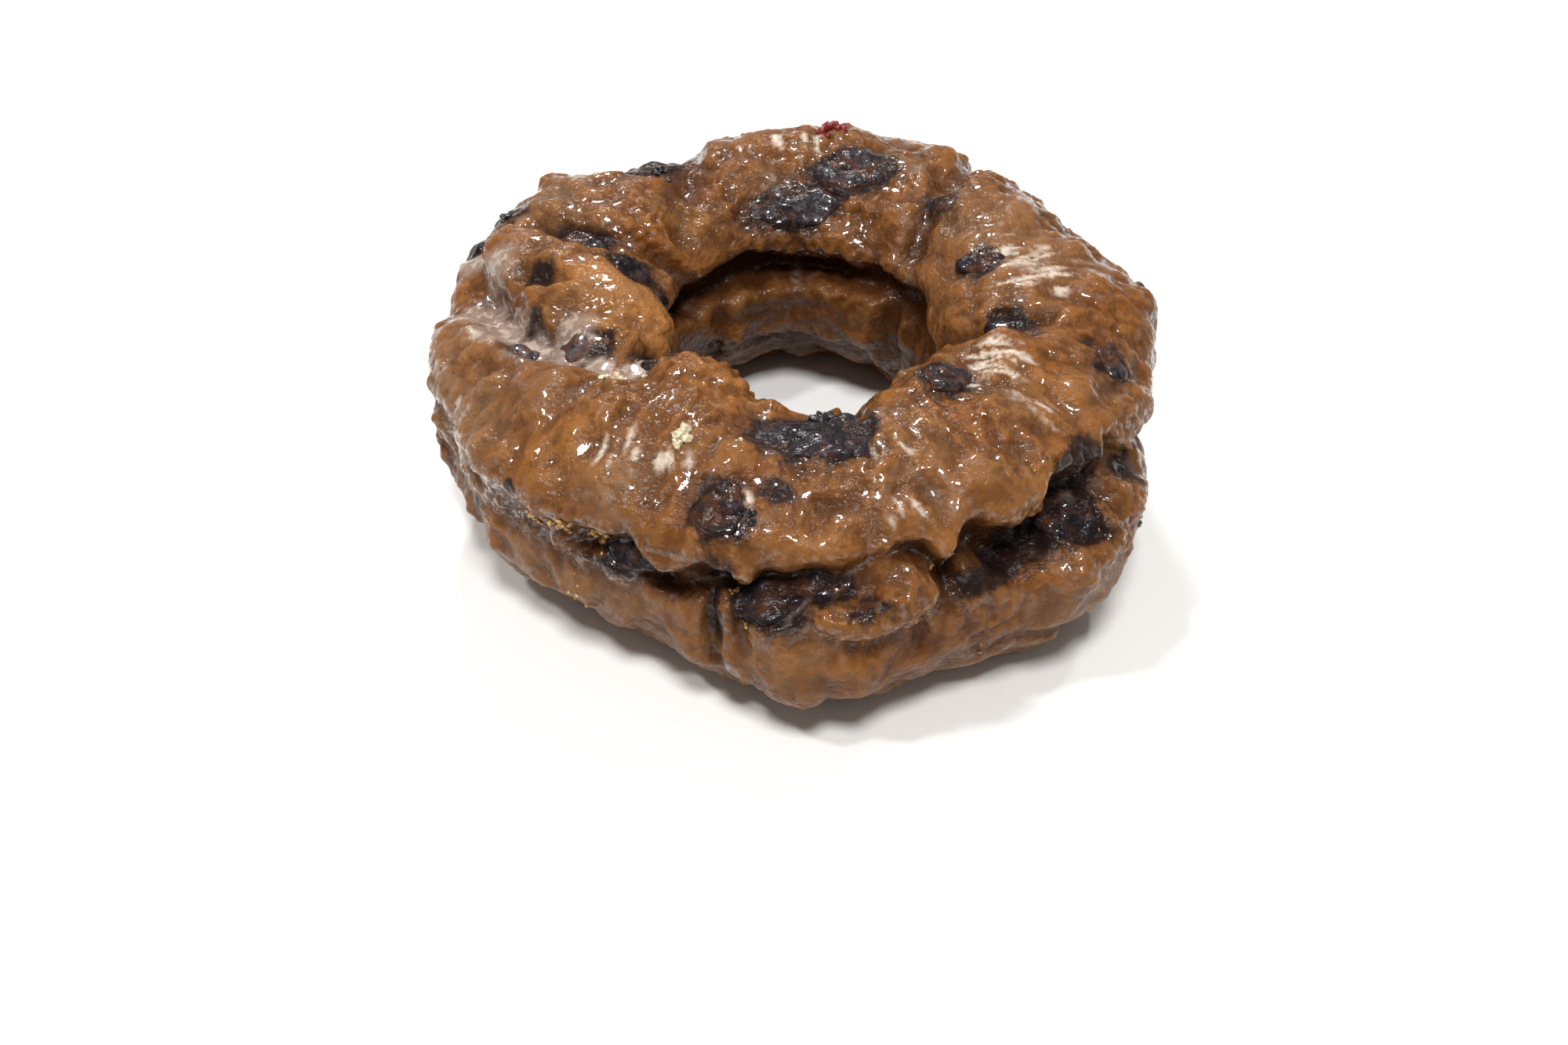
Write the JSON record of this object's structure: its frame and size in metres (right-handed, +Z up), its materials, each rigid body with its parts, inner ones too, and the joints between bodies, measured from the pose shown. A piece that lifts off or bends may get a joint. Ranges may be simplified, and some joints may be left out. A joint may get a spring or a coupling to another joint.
{
  "type": "ring doughnut",
  "caption": "Fried cake ring doughnut with a thin glaze, split round its side into a cap and a base, with dark berries baked into a craggy crust",
  "frame": {"origin": "bottom centre of the bounding box, on the surface it lies on, in the middle of the hole", "axes": "+Z up, through the hole; +X and +Y round the ring, with -Y at the side seen nearest in the picture"},
  "size_m": [0.0924, 0.0955, 0.0352],
  "materials": {
    "crust": "fried crust under a thin sugar glaze",
    "berry": "wet baked berry skin"
  },
  "bodies": {
    "root": {"berry_back_inner": "berry", "berry_back_left": "berry", "berry_back_small": "berry", "berry_back_top": "berry", "berry_front_face": "berry", "berry_front_split": "berry", "berry_front_split_end": "berry", "berry_front_top": "berry", "berry_left_crest": "berry", "berry_left_outer": "berry", "berry_left_pool": "berry", "berry_left_pool_outer": "berry", "berry_left_rim": "berry", "berry_left_side": "berry", "berry_left_split": "berry", "berry_left_tongue": "berry", "berry_right_back": "berry", "berry_right_base": "berry", "berry_right_cleft": "berry", "berry_right_edge": "berry", "berry_right_rim": "berry", "berry_right_split": "berry", "berry_right_top": "berry", "dough": "crust"}
  },
  "joints": []
}
